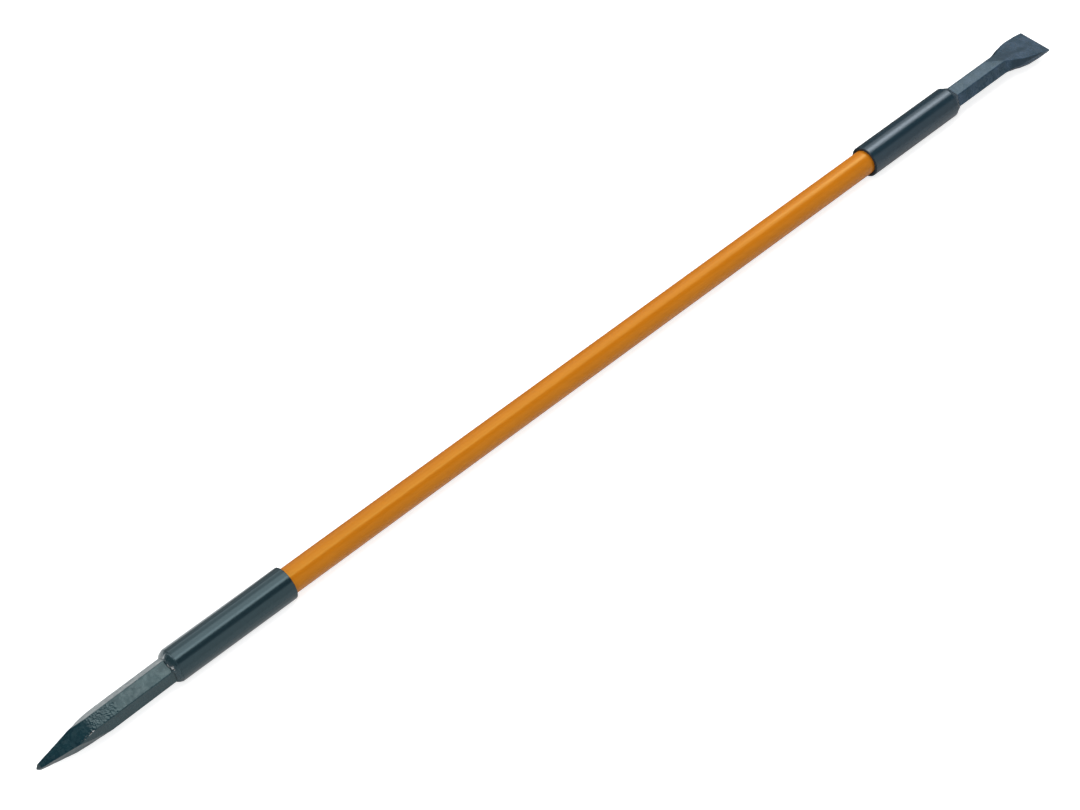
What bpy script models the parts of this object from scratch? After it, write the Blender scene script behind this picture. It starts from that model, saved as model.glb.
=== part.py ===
"""Two-ended insulated crowbar: a hexagonal steel point and a hexagonal steel chisel, each
welded into a tube socket, and both sockets bonded over one glass-fibre shaft.

Metres, +Z up. +X runs along the bar from the point to the chisel, and the blade lies level.
The origin is on the floor, under the middle of the overall length.
"""

import math

import bmesh
import bpy
import numpy as np
from mathutils import Matrix, Vector

# Overall
OVERALL_LENGTH = 1.500
GAP = 0.0003  # left between pieces that touch
ROUND_SIDES = 64  # flats round every turned piece

# Shaft: a glass-fibre core inside two sheaths, the inner one in a warning colour
SHAFT_DIAMETER = 0.030
SLEEVE_WALL = 0.0014
SLEEVE_EDGE_BEVEL = 0.0004
WEAR_LAYER_WALL = 0.0008
WEAR_LAYER_EDGE_BEVEL = 0.0002

# Sockets: steel tube over the shaft at one end and over the bar at the other
SOCKET_LENGTH = 0.149
SOCKET_WALL = 0.0028
SOCKET_MOUTH_BEVEL = 0.0008
BOND_ROOM = 0.00125  # between the shaft and the bore, filled by adhesive
BOND_RECESS = 0.0012  # how far the adhesive stops short of the socket's mouth
BOND_FLOOR = 0.005  # between the shaft's end and the bar's end

# Bars: one hexagonal steel section for both ends
BAR_ACROSS_FLATS = 0.026
BAR_SEAT = 0.045  # length of bar inside its socket
BAR_END_BEVEL = 0.001

# Point end
POINT_REACH = 0.1647  # from the socket's nose to the tip
POINT_LEAN = math.radians(1.0)  # the bar leans to -Y from its inner end outwards
POINT_ROLL = math.radians(22.0)  # turn of its flats about the bar's length
POINT_FLAT_TAPER = math.radians(10.2)  # the two faces forged on flats of the hexagon
POINT_FAR_TAPER = math.radians(9.7)  # the face towards +Y, forged across a corner
POINT_NEAR_TAPER = math.radians(8.4)  # the face towards -Y, which is less steep
POINT_NEAR_TILT = math.radians(2.5)  # how far that face is turned to look upwards
POINT_TIP_HALF = 0.0017  # from the middle line to a face at the tip, if it ran on unblunted
POINT_NEAR_TIP_HALF = 0.0030  # the same for the face towards -Y
POINT_TIP_OFFSET = 0.0009  # the very end lies this far to the -Y side
POINT_BLUNT_HALF = 0.0004  # half of the flat at the very end
POINT_BLUNT_FLAT_ANGLE = math.radians(27.0)  # above and below
POINT_BLUNT_FAR_ANGLE = math.radians(43.0)
POINT_BLUNT_NEAR_ANGLE = math.radians(32.0)

# Chisel end
CHISEL_REACH = 0.1630  # from the socket's nose to the cutting edge
CHISEL_ROLL = math.radians(6.0)  # turn of the bar's flats against the blade
BLADE_LENGTH = 0.0806
BLADE_WIDTH = 0.0446  # at the cutting edge
BLADE_ROOT_WIDTH = 0.0420  # where the flare ends
EDGE_THICKNESS = 0.0017
EDGE_DROP = 0.00565  # the edge lies this far below the bar's middle line
FLARE_SETBACK = 0.0110  # from the start of the forged faces to the start of the flare
FLARE_LENGTH = 0.0390
FLARE_STEPS = 10
BLADE_SIDE_WALL = 0.0072  # upright wall along each side of the blade

# Noses and welds: length of the tube's bevel, wall left at its end, length of weld, toe height
POINT_NOSE_BEVEL = 0.0032
POINT_NOSE_LIP = 0.0006
POINT_WELD_LENGTH = 0.0040
POINT_WELD_TOE = -0.0008  # from the bar's flat; below it, the weld runs out on the flat
CHISEL_NOSE_BEVEL = 0.0034
CHISEL_NOSE_LIP = 0.0006
CHISEL_WELD_LENGTH = 0.0052
CHISEL_WELD_TOE = 0.0004

# Derived radii
SHAFT_RADIUS = SHAFT_DIAMETER / 2
BAR_FLAT_RADIUS = BAR_ACROSS_FLATS / 2
BAR_CORNER_RADIUS = BAR_FLAT_RADIUS / math.cos(math.pi / 6)
LEAN_AT_NOSE = BAR_SEAT * math.sin(POINT_LEAN)
BORE_RADIUS = max(SHAFT_RADIUS + BOND_ROOM, BAR_CORNER_RADIUS + LEAN_AT_NOSE + GAP)
SOCKET_RADIUS = BORE_RADIUS + SOCKET_WALL
WEAR_RADIUS = SHAFT_RADIUS - SLEEVE_WALL - GAP
CORE_RADIUS = WEAR_RADIUS - WEAR_LAYER_WALL - GAP
AXIS_HEIGHT = SOCKET_RADIUS * math.cos(math.pi / ROUND_SIDES)

# Derived places along the bar
TIP_X = -OVERALL_LENGTH / 2
EDGE_X = OVERALL_LENGTH / 2
POINT_NOSE_X = TIP_X + POINT_REACH
POINT_MOUTH_X = POINT_NOSE_X + SOCKET_LENGTH
CHISEL_NOSE_X = EDGE_X - CHISEL_REACH
CHISEL_MOUTH_X = CHISEL_NOSE_X - SOCKET_LENGTH
SHAFT_SEAT = SOCKET_LENGTH - BAR_SEAT - BOND_FLOOR
SHAFT_START_X = POINT_MOUTH_X - SHAFT_SEAT
SHAFT_END_X = CHISEL_MOUTH_X + SHAFT_SEAT


def clear_scene():
    for old in list(bpy.data.objects):
        bpy.data.objects.remove(old, do_unlink=True)


def finish(name, colour, roughness, metallic=0.0):
    """One Principled material for one piece."""
    material = bpy.data.materials.new(name)
    material.use_nodes = True
    shader = material.node_tree.nodes["Principled BSDF"]
    shader.inputs["Base Color"].default_value = (*colour, 1.0)
    shader.inputs["Roughness"].default_value = roughness
    shader.inputs["Metallic"].default_value = metallic
    material.diffuse_color = (*colour, 1.0)
    return material


def painted_steel(name):
    return finish(name, (0.045, 0.080, 0.095), 0.40, 0.15)


def weld_metal(name):
    return finish(name, (0.060, 0.095, 0.110), 0.45, 0.25)


def insulating_sleeve(name):
    return finish(name, (0.560, 0.185, 0.012), 0.45)


def warning_layer(name):
    return finish(name, (0.75, 0.62, 0.10), 0.50)


def glass_fibre(name):
    return finish(name, (0.42, 0.40, 0.30), 0.60)


def adhesive(name):
    return finish(name, (0.020, 0.020, 0.022), 0.55)


def add_object(name, bm, material, axis):
    """Turns a bmesh into a named object that hangs on the bar's axis empty."""
    bmesh.ops.recalc_face_normals(bm, faces=bm.faces)
    mesh = bpy.data.meshes.new(name)
    bm.to_mesh(mesh)
    bm.free()
    mesh.materials.append(material)
    piece = bpy.data.objects.new(name, mesh)
    bpy.context.scene.collection.objects.link(piece)
    piece.parent = axis
    return piece


def turned(name, profile, material, axis):
    """A round piece: its profile of (x, radius) points, spun once round the X axis.

    A profile that starts and ends on the axis makes a solid rod, and any other is closed first
    and makes a ring. Half a step of turn puts a flat, not a corner, at the very bottom.
    """
    bm = bmesh.new()
    start = Matrix.Rotation(math.pi / ROUND_SIDES, 4, "X")
    points = [bm.verts.new(start @ Vector((x, 0.0, r))) for x, r in profile]
    edges = [bm.edges.new(pair) for pair in zip(points, points[1:])]
    if profile[0][1] > 0.0 or profile[-1][1] > 0.0:
        edges.append(bm.edges.new((points[-1], points[0])))
    bmesh.ops.spin(bm, geom=points + edges, cent=(0, 0, 0), axis=(1, 0, 0),
                   angle=2 * math.pi, steps=ROUND_SIDES)
    bmesh.ops.remove_doubles(bm, verts=bm.verts, dist=1e-6)
    piece = add_object(name, bm, material, axis)
    piece.data.shade_smooth()
    piece.data.set_sharp_from_angle(angle=math.radians(25))
    return piece


def tube(name, x_range, inner, outer, bevel, material, axis):
    """A plain sheath with a small bevel on both outer edges."""
    low, high = x_range
    profile = [(low, inner), (low, outer - bevel), (low + bevel, outer),
               (high - bevel, outer), (high, outer - bevel), (high, inner)]
    return turned(name, profile, material, axis)


def socket(name, nose_x, inward, nose_bevel, nose_lip, material, axis):
    """Steel tube from its nose, over the bar, to its mouth, over the shaft.

    inward is +1 or -1: the direction from the nose to the mouth.
    """
    mouth_x = nose_x + inward * SOCKET_LENGTH
    bevel = SOCKET_MOUTH_BEVEL
    profile = [(nose_x, BORE_RADIUS), (nose_x, BORE_RADIUS + nose_lip),
               (nose_x + inward * nose_bevel, SOCKET_RADIUS),
               (mouth_x - inward * bevel, SOCKET_RADIUS),
               (mouth_x, SOCKET_RADIUS - bevel), (mouth_x, BORE_RADIUS)]
    return turned(name, profile, material, axis)


def bond(name, nose_x, inward, axis):
    """Adhesive cup: a sleeve round the shaft's end and a floor between shaft and bar."""
    mouth_x = nose_x + inward * (SOCKET_LENGTH - BOND_RECESS)
    floor_x = nose_x + inward * (BAR_SEAT + GAP)
    seat_x = nose_x + inward * (BAR_SEAT + BOND_FLOOR - GAP)
    profile = [(floor_x, 0.0), (floor_x, BORE_RADIUS - GAP), (mouth_x, BORE_RADIUS - GAP),
               (mouth_x, SHAFT_RADIUS + GAP), (seat_x, SHAFT_RADIUS + GAP), (seat_x, 0.0)]
    return turned(name, profile, adhesive(name), axis)


def hexagon(flat_radius):
    """Corners (y, z) of a hexagon with one flat on top and one below."""
    corner = flat_radius / math.cos(math.pi / 6)
    turns = np.radians(np.arange(0, 360, 60))
    return np.stack([corner * np.cos(turns), corner * np.sin(turns)], axis=1)


def loft(sections):
    """Skins a row of rings of points, each an array (n, 3), and caps both ends."""
    bm = bmesh.new()
    rings = [[bm.verts.new(point) for point in ring] for ring in sections]
    count = len(rings[0])
    for near, far in zip(rings, rings[1:]):
        for i in range(count):
            j = (i + 1) % count
            bm.faces.new((near[i], near[j], far[j], far[i]))
    bm.faces.new(rings[0])
    bm.faces.new(rings[-1])
    bmesh.ops.remove_doubles(bm, verts=bm.verts, dist=1e-6)
    bmesh.ops.dissolve_degenerate(bm, edges=bm.edges, dist=1e-6)
    bmesh.ops.triangulate(bm, faces=bm.faces)
    bmesh.ops.recalc_face_normals(bm, faces=bm.faces)
    return bm


def prism(flat_radius, x_range):
    """Hexagonal bar between two places along X."""
    corners = hexagon(flat_radius)
    rings = [np.column_stack([np.full(len(corners), x), corners]) for x in x_range]
    return loft(rings)


def forge_flat(bm, point, normal):
    """Cuts off what lies in front of a plane and closes the cut with one flat face."""
    cut = bmesh.ops.bisect_plane(bm, geom=bm.verts[:] + bm.edges[:] + bm.faces[:], dist=1e-7,
                                 plane_co=point, plane_no=normal, clear_outer=True)
    rim = [item for item in cut["geom_cut"] if isinstance(item, bmesh.types.BMEdge)]
    bmesh.ops.edgeloop_fill(bm, edges=rim)


def bevel_inner_end(bm):
    """Small chamfer round the bar's end inside the socket, which lies at x = 0."""
    rim = [edge for edge in bm.edges
           if all(abs(vert.co.x) < 1e-6 for vert in edge.verts) and not edge.is_boundary
           and edge.calc_face_angle(0.0) > math.radians(60)]
    bmesh.ops.bevel(bm, geom=rim, offset=BAR_END_BEVEL, segments=1, profile=0.5,
                    affect="EDGES", clamp_overlap=True)


def point_bar(axis):
    """Hexagonal bar forged to a blunt four-sided point, made from x = 0 along -X."""
    length = BAR_SEAT + POINT_REACH
    bm = prism(BAR_FLAT_RADIUS, (-length, 0.0))
    bevel_inner_end(bm)
    up, near, down, far = (quarter * math.pi / 2 for quarter in range(4))
    faces = ((up, POINT_TIP_HALF, POINT_FLAT_TAPER),
             (near - POINT_NEAR_TILT, POINT_NEAR_TIP_HALF, POINT_NEAR_TAPER),
             (down, POINT_TIP_HALF, POINT_FLAT_TAPER),
             (far, POINT_TIP_HALF, POINT_FAR_TAPER),
             (up, POINT_BLUNT_HALF, POINT_BLUNT_FLAT_ANGLE),
             (near, POINT_BLUNT_HALF + POINT_TIP_OFFSET, POINT_BLUNT_NEAR_ANGLE),
             (down, POINT_BLUNT_HALF, POINT_BLUNT_FLAT_ANGLE),
             (far, POINT_BLUNT_HALF - POINT_TIP_OFFSET, POINT_BLUNT_FAR_ANGLE))
    for way, at_tip, taper in faces:
        turn = Matrix.Rotation(way, 3, "X")
        point = turn @ Vector((-length, 0.0, at_tip))
        normal = turn @ Vector((-math.sin(taper), 0.0, math.cos(taper)))
        forge_flat(bm, point, normal)
    piece = add_object("point_bar", bm, painted_steel("point_bar"), axis)
    place_point(piece)
    return piece


def place_point(piece):
    """Sets the point's bar, or its cutter, at its inner end with its roll and lean."""
    piece.location = (POINT_NOSE_X + BAR_SEAT, 0.0, 0.0)
    piece.rotation_euler = (POINT_ROLL, 0.0, POINT_LEAN)


def share_of(x, start, length):
    """0 before start, 1 after start + length, and an even rise between them."""
    return min(max((x - start) / length, 0.0), 1.0)


def chisel_section(x, blade_start):
    """Eight corners of the chisel's bar at x, before its two forged faces are cut.

    The section is a hexagon on the bar. Along the flare, half a cosine wave long, its sides move
    out, its two outermost corners open into upright walls, and its roll fades out.
    """
    flare_start = blade_start + FLARE_SETBACK
    flare = 0.5 - 0.5 * math.cos(math.pi * share_of(x, flare_start, FLARE_LENGTH))
    spread = share_of(x, flare_start + FLARE_LENGTH, BLADE_LENGTH - FLARE_SETBACK - FLARE_LENGTH)
    half_width = BAR_CORNER_RADIUS + (BLADE_ROOT_WIDTH / 2 - BAR_CORNER_RADIUS) * flare
    half_width += (BLADE_WIDTH - BLADE_ROOT_WIDTH) / 2 * spread
    half_wall = BLADE_SIDE_WALL / 2 * flare
    half_top = half_width - (BAR_FLAT_RADIUS - half_wall) * math.tan(math.pi / 6)
    drop = EDGE_DROP * share_of(x, blade_start, BLADE_LENGTH)
    quarter = np.array([(half_width, half_wall), (half_top, BAR_FLAT_RADIUS)])
    half = np.vstack([quarter, quarter[::-1] * (-1, 1)])
    ring = np.vstack([half, half[::-1] * (1, -1)])
    roll = CHISEL_ROLL * (1.0 - flare)
    cos, sin = math.cos(roll), math.sin(roll)
    y = ring[:, 0] * cos - ring[:, 1] * sin
    z = ring[:, 0] * sin + ring[:, 1] * cos - drop
    return np.column_stack([np.full(len(ring), x), y, z])


def chisel_bar(axis):
    """Hexagonal bar that flares into a blade, made from x = 0 along +X."""
    length = BAR_SEAT + CHISEL_REACH
    blade_start = length - BLADE_LENGTH
    flare_start = blade_start + FLARE_SETBACK
    stations = [0.0, blade_start, *np.linspace(flare_start, flare_start + FLARE_LENGTH,
                                               FLARE_STEPS + 1), length]
    bm = loft([chisel_section(x, blade_start) for x in stations])
    bevel_inner_end(bm)
    for side in (1, -1):
        start = Vector((blade_start, 0.0, side * BAR_FLAT_RADIUS))
        edge = Vector((length, 0.0, side * EDGE_THICKNESS / 2 - EDGE_DROP))
        forge_flat(bm, start, Vector((0.0, -side, 0.0)).cross(edge - start))
    piece = add_object("chisel_bar", bm, painted_steel("chisel_bar"), axis)
    piece.location = (CHISEL_NOSE_X - BAR_SEAT, 0.0, 0.0)
    return piece


def bar_cutter(name, inward, reach, axis):
    """The bar's hexagon, larger by the gap, that clears the hole through its weld."""
    bm = prism(BAR_FLAT_RADIUS + GAP, (-inward * (BAR_SEAT + reach), 0.0))
    cutter = add_object(name, bm, finish(name, (1.0, 0.0, 0.0), 0.5), axis)
    cutter.hide_render = True
    cutter.display_type = "WIRE"
    return cutter


def weld(name, nose_x, inward, nose_lip, length, toe, cutter, axis):
    """Fillet from the socket's nose down to the bar, with a hexagonal hole for the bar."""
    base_x = nose_x - inward * GAP
    toe_x = nose_x - inward * length
    toe_radius = BAR_FLAT_RADIUS + toe
    hollow = BAR_FLAT_RADIUS / 2  # the cutter takes away the rest
    profile = [(base_x, hollow), (base_x, BORE_RADIUS + nose_lip), (toe_x, toe_radius),
               (toe_x, hollow)]
    piece = turned(name, profile, weld_metal(name), axis)
    cut = piece.modifiers.new("bar_hole", "BOOLEAN")
    cut.operation = "DIFFERENCE"
    cut.solver = "EXACT"
    cut.object = cutter
    return piece


def build():
    clear_scene()
    axis = bpy.data.objects.new("bar_axis", None)
    bpy.context.scene.collection.objects.link(axis)
    axis.location = (0.0, 0.0, AXIS_HEIGHT)

    shaft_span = (SHAFT_START_X, SHAFT_END_X)
    turned("shaft_core", [(SHAFT_START_X, 0.0), (SHAFT_START_X, CORE_RADIUS),
                          (SHAFT_END_X, CORE_RADIUS), (SHAFT_END_X, 0.0)],
           glass_fibre("shaft_core"), axis)
    tube("shaft_wear_layer", shaft_span, CORE_RADIUS + GAP, WEAR_RADIUS,
         WEAR_LAYER_EDGE_BEVEL, warning_layer("shaft_wear_layer"), axis)
    tube("shaft_sleeve", shaft_span, WEAR_RADIUS + GAP, SHAFT_RADIUS, SLEEVE_EDGE_BEVEL,
         insulating_sleeve("shaft_sleeve"), axis)

    socket("point_socket", POINT_NOSE_X, 1, POINT_NOSE_BEVEL, POINT_NOSE_LIP,
           painted_steel("point_socket"), axis)
    bond("point_bond", POINT_NOSE_X, 1, axis)
    point_bar(axis)
    cutter = bar_cutter("point_weld_cutter", 1, POINT_REACH, axis)
    place_point(cutter)
    weld("point_weld", POINT_NOSE_X, 1, POINT_NOSE_LIP, POINT_WELD_LENGTH, POINT_WELD_TOE,
         cutter, axis)

    socket("chisel_socket", CHISEL_NOSE_X, -1, CHISEL_NOSE_BEVEL, CHISEL_NOSE_LIP,
           painted_steel("chisel_socket"), axis)
    bond("chisel_bond", CHISEL_NOSE_X, -1, axis)
    chisel_bar(axis)
    cutter = bar_cutter("chisel_weld_cutter", -1, CHISEL_REACH, axis)
    cutter.location = (CHISEL_NOSE_X - BAR_SEAT, 0.0, 0.0)
    cutter.rotation_euler = (CHISEL_ROLL, 0.0, 0.0)
    weld("chisel_weld", CHISEL_NOSE_X, -1, CHISEL_NOSE_LIP, CHISEL_WELD_LENGTH,
         CHISEL_WELD_TOE, cutter, axis)


build()
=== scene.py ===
# %% [markdown]
# # A two-ended insulated crowbar
#
# The real bar is 1.5 m long. A hexagonal steel bar forged to a point is welded into a tube
# socket, another one forged to a chisel is welded into a second socket, and an orange insulated
# shaft is bonded into both.
#
# The CAD model is loaded first as a fixed frame in metres. Each cell then dresses one piece or
# mixes one finish, so that every step can be run, looked at and changed by itself.

import math

import bpy
import bmesh
import numpy as np
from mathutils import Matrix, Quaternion, Vector


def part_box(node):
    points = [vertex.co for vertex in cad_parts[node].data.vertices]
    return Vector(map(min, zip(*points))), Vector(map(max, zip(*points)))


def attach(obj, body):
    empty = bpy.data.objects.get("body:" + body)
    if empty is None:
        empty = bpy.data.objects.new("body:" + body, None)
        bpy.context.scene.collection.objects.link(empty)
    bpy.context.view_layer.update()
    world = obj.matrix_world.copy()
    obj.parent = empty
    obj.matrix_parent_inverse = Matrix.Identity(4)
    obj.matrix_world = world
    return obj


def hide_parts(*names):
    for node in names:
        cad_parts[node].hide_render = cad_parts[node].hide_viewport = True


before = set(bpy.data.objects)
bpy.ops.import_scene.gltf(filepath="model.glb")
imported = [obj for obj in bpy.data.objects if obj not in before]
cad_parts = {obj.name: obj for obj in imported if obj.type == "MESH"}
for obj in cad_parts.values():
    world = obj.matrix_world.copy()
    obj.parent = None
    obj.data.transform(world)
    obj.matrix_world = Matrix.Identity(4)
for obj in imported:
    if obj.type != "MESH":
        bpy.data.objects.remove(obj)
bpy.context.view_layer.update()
print("CAD nodes:", ", ".join(sorted(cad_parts)))

# %% [markdown]
# ## Where things are
#
# The sockets and the shaft are round and share one middle line, so their boxes in the frame
# already give its height and where they start and end. Radii and hidden sizes are written down
# again, because the box of a many-sided solid is a little smaller than its circle.

# %% Read the places off the frame
sleeve_low, sleeve_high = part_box("shaft_sleeve")
point_socket_low, point_socket_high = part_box("point_socket")
chisel_socket_low, chisel_socket_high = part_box("chisel_socket")

AXIS_HEIGHT = (sleeve_low[2] + sleeve_high[2]) / 2
SHAFT_RADIUS = 0.015
SOCKET_RADIUS = 0.01905
BORE_RADIUS = 0.01625
POINT_NOSE_X, POINT_MOUTH_X = point_socket_low[0], point_socket_high[0]
CHISEL_MOUTH_X, CHISEL_NOSE_X = chisel_socket_low[0], chisel_socket_high[0]
SHAFT_START_X, SHAFT_END_X = sleeve_low[0], sleeve_high[0]
FLAT_RADIUS = 0.013  # from the bar's middle line to a flat of the hexagon
BAR_SEAT = 0.045  # length of bar hidden in its socket
print(f"middle line {AXIS_HEIGHT * 1000:.2f} mm up")
print(f"noses of the sockets at {POINT_NOSE_X:.4f} and {CHISEL_NOSE_X:.4f}")

# %% [markdown]
# ## The camera
#
# The photograph looks down on the bar from the point's side, so the chisel is farther away and
# smaller. A camera is a place, a spot that it looks at, a small roll about its own line of sight
# and a lens. Pointing it with a track rotation and rolling it afterwards keeps these four apart,
# which is easier to adjust than a matrix.

# %% Place the camera
CAMERA_PLACE = Vector((-1.29656, -1.36775, 2.03488))
CAMERA_AIM = Vector((-0.07801, 0.00570, 0.0))
CAMERA_ROLL = math.radians(-2.716)
CAMERA_LENS = 84.728  # millimetres, for a sensor 36 mm wide

camera_data = bpy.data.cameras.new("camera")
camera_data.lens = CAMERA_LENS
camera_data.sensor_width = 36.0
camera_data.sensor_fit = "HORIZONTAL"
camera_data.clip_end = 100.0
camera = bpy.data.objects.new("camera", camera_data)
bpy.context.scene.collection.objects.link(camera)
camera.location = CAMERA_PLACE
camera.rotation_mode = "QUATERNION"
line_of_sight = (CAMERA_AIM - CAMERA_PLACE).to_track_quat("-Z", "Y")
camera.rotation_quaternion = line_of_sight @ Quaternion((0.0, 0.0, 1.0), CAMERA_ROLL)
bpy.context.scene.camera = camera
print(f"camera {(CAMERA_AIM - CAMERA_PLACE).length:.2f} m from what it looks at")

# %% [markdown]
# ## Surfaces from grids of points
#
# Every new piece is a skin over rings of points: a ring goes once round the piece, and the
# rings follow each other along it. If the points are one numpy array, a shape is a formula on
# whole arrays, and only one helper has to know about faces. A ring that shrinks to one point
# closes an end, and joining the last ring to the first makes a tube with a wall.

# %% A skin over rings of points
def unit(vectors):
    """Vectors divided by their own length."""
    length = np.linalg.norm(vectors, axis=-1, keepdims=True)
    return vectors / np.maximum(length, 1e-12)


def joined(*parts):
    """Arrays of x, y and so on, stretched to one shape, side by side along a new last axis."""
    return np.stack(np.broadcast_arrays(*parts), axis=-1)


def whole_turn(around):
    """Angles in equal steps once round, starting at 0."""
    return np.linspace(0.0, 2 * math.pi, around, endpoint=False)


def skin(name, rings, finish, looped=False, marks=None):
    """A mesh over an array (rings, around, 3) whose points go round anticlockwise seen from +X.

    Quad corners: this point, the next one round, the same two on the next ring. marks are
    named arrays (rings, around) that materials can read as attributes.
    """
    rows, around = rings.shape[:2]
    ring = np.arange(rows if looped else rows - 1)[:, None]
    step = np.arange(around)[None, :]
    next_ring, next_step = (ring + 1) % rows, (step + 1) % around
    quads = joined(ring * around + step, ring * around + next_step,
                   next_ring * around + next_step, next_ring * around + step)
    mesh = bpy.data.meshes.new(name)
    mesh.vertices.add(rows * around)
    mesh.vertices.foreach_set("co", rings.astype(np.float32).ravel())
    mesh.loops.add(quads.size)
    mesh.loops.foreach_set("vertex_index", quads.astype(np.int32).ravel())
    mesh.polygons.add(quads.size // 4)
    mesh.polygons.foreach_set("loop_start", np.arange(0, quads.size, 4, dtype=np.int32))
    mesh.update(calc_edges=True)
    for mark, values in (marks or {}).items():
        attribute = mesh.attributes.new(mark, "FLOAT", "POINT")
        attribute.data.foreach_set("value", values.astype(np.float32).ravel())
    close_poles(mesh)
    mesh.shade_smooth()
    mesh.materials.append(finish)
    piece = bpy.data.objects.new(name, mesh)
    bpy.context.scene.collection.objects.link(piece)
    print(f"{name}: {rows} rings of {around} points, {2 * len(mesh.polygons)} triangles at most")
    return piece


def close_poles(mesh):
    """Merges the points of a ring that has shrunk to one place."""
    bm = bmesh.new()
    bm.from_mesh(mesh)
    bmesh.ops.remove_doubles(bm, verts=bm.verts, dist=2e-6)
    bm.to_mesh(mesh)
    bm.free()

# %% [markdown]
# ## Round pieces
#
# A lathe part is a profile, distance along the bar against radius, carried round the middle line.
# No real edge is perfectly sharp, and the soft edge is what catches the light, so each corner of
# the profile is first replaced by a short parabola, with one more point on each side that keeps
# the shading of the long straight faces flat.

# %% Ease a profile's corners and turn it
AROUND = 192  # points round a turned piece
SUPPORT = 0.0006  # length of the short face beside each eased corner


def eased(profile, ease, steps=5):
    """Corners as parabolas: corner + ease * ((1 - s)^2 back + s^2 ahead), s from 0 to 1."""
    corners = np.asarray(profile)
    back = unit(np.roll(corners, 1, axis=0) - corners)[:, None]
    ahead = unit(np.roll(corners, -1, axis=0) - corners)[:, None]
    s = np.linspace(0.0, 1.0, steps)[None, :, None]
    arc = corners[:, None] + ease * ((1 - s) ** 2 * back + s ** 2 * ahead)
    before = corners[:, None] + (ease + SUPPORT) * back
    after = corners[:, None] + (ease + SUPPORT) * ahead
    return np.concatenate([before, arc, after], axis=1).reshape(-1, 2)


def around_axis(curve, turn):
    """Points (x, radius cos turn, radius sin turn) of a curve of x and radius."""
    x, radius = curve[..., 0], curve[..., 1]
    return joined(x, radius * np.cos(turn), radius * np.sin(turn))


def turned(profile, around=AROUND):
    """Rings (points of the profile, around, 3) of the profile carried round the middle line."""
    return around_axis(profile[:, None], whole_turn(around)) + (0.0, 0.0, AXIS_HEIGHT)

# %% [markdown]
# ## Relief
#
# Forged steel is never flat: hammer marks are shallow dents, and scale leaves a fine grain. Both
# are heights along the surface's own normal. Grain comes from adding waves that run in seeded
# random directions, and a dent is a bell curve round its centre.

# %% Waves, dents and a way to raise a surface
def waves(points, length, seed, count=28):
    """Smooth noise: the sum of count cosines, each with its own direction, phase and length."""
    random = np.random.default_rng(seed)
    direction = unit(random.normal(size=(count, 3)))
    pace = 2 * math.pi / (length * random.uniform(0.75, 1.35, size=(count, 1)))
    phase = random.uniform(0.0, 2 * math.pi, size=count)
    return np.cos(points @ (direction * pace).T + phase).sum(axis=-1) * math.sqrt(2.0 / count)


def bell(value, middle, half_width):
    """exp(-((value - middle) / half width)^2)."""
    return np.exp(-((value - middle) / half_width) ** 2)


def dents(points, centres, radius, depth):
    """Hollows of -depth * bell(distance, 0, radius), of which the deepest counts at each point.

    radius and depth are numbers or one value for each centre. Points far along X stay at 0.
    """
    height = np.zeros(points.shape[:-1])
    margin = 3.0 * np.max(radius)
    near = points[..., 0] > centres[:, 0].min() - margin
    near &= points[..., 0] < centres[:, 0].max() + margin
    gap = np.linalg.norm(points[near][:, None, :] - centres, axis=-1)
    height[near] = -(depth * bell(gap, 0.0, radius)).max(axis=-1)
    return height


def smooth_step(value, start, end):
    """0 at start, 1 at end, held beyond them, and 3 s^2 - 2 s^3 between. end may be lower."""
    s = np.clip((value - start) / (end - start), 0.0, 1.0)
    return s * s * (3.0 - 2.0 * s)


def window(value, start, full, fading, end):
    """1 from full to fading and 0 outside start and end, with smooth steps between them."""
    return smooth_step(value, start, full) * smooth_step(value, end, fading)


def round_way(rings):
    """From the point before to the point after, round each ring."""
    return np.roll(rings, -1, axis=1) - np.roll(rings, 1, axis=1)


def raised(rings, height):
    """Rings moved by height along their normals, the cross product of round and along."""
    normal = unit(np.cross(round_way(rings), np.gradient(rings, axis=0)))
    return rings + normal * height[..., None]

# %% [markdown]
# ## The skin of a forged bar
#
# A hexagonal bar, a square point and a flat blade are all bounded by flats. In one slice, a flat
# whose nearest point lies `reach` away in the direction `facing` is met at
# reach / cos(turn - facing), and the nearest flat is the surface. A high power mean instead of
# the plain minimum rounds each ridge a little, as a hammer and paint do.

# %% Slices bounded by flats
CRISPNESS = 80.0  # a higher power gives sharper ridges
HEXAGON_FACING = np.radians(np.arange(30.0, 390.0, 60.0))


def flats_radius(turn, facing, reach):
    """1 / radius = (sum of (cos(turn - facing) / reach) ^ CRISPNESS) ^ (1 / CRISPNESS).

    turn is (slices, around); facing and reach are (slices, flats).
    """
    angle = turn[:, :, None] - facing[:, None, :]
    closeness = np.maximum(np.cos(angle), 0.0) / reach[:, None, :]
    nearest = closeness.max(axis=-1)
    total = ((closeness / nearest[..., None]) ** CRISPNESS).sum(axis=-1)
    return 1.0 / (nearest * total ** (1.0 / CRISPNESS))


def rounded_end(ease, steps=6):
    """Depth from the end and inset from the sides along a quarter circle of radius ease."""
    angle = np.linspace(0.0, math.pi / 2, steps)
    return ease * (1.0 - np.cos(angle)), ease * (1.0 - np.sin(angle))


def stations(places, start_ease, end_ease):
    """Places along a bar with both ends rounded: (x, inset from the sides, 0 at the poles)."""
    depth_start, inset_start = rounded_end(start_ease)
    depth_end, inset_end = rounded_end(end_ease)
    first, last = places[0], places[-1]
    inner = places[(places > first + start_ease) & (places < last - end_ease)]
    x = np.concatenate([[first], first + depth_start, inner, last - depth_end[::-1], [last]])
    inset = np.concatenate([[start_ease], inset_start, 0.0 * inner, inset_end[::-1], [end_ease]])
    spread = np.ones(len(x))
    spread[[0, -1]] = 0.0
    return x, inset, spread

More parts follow.
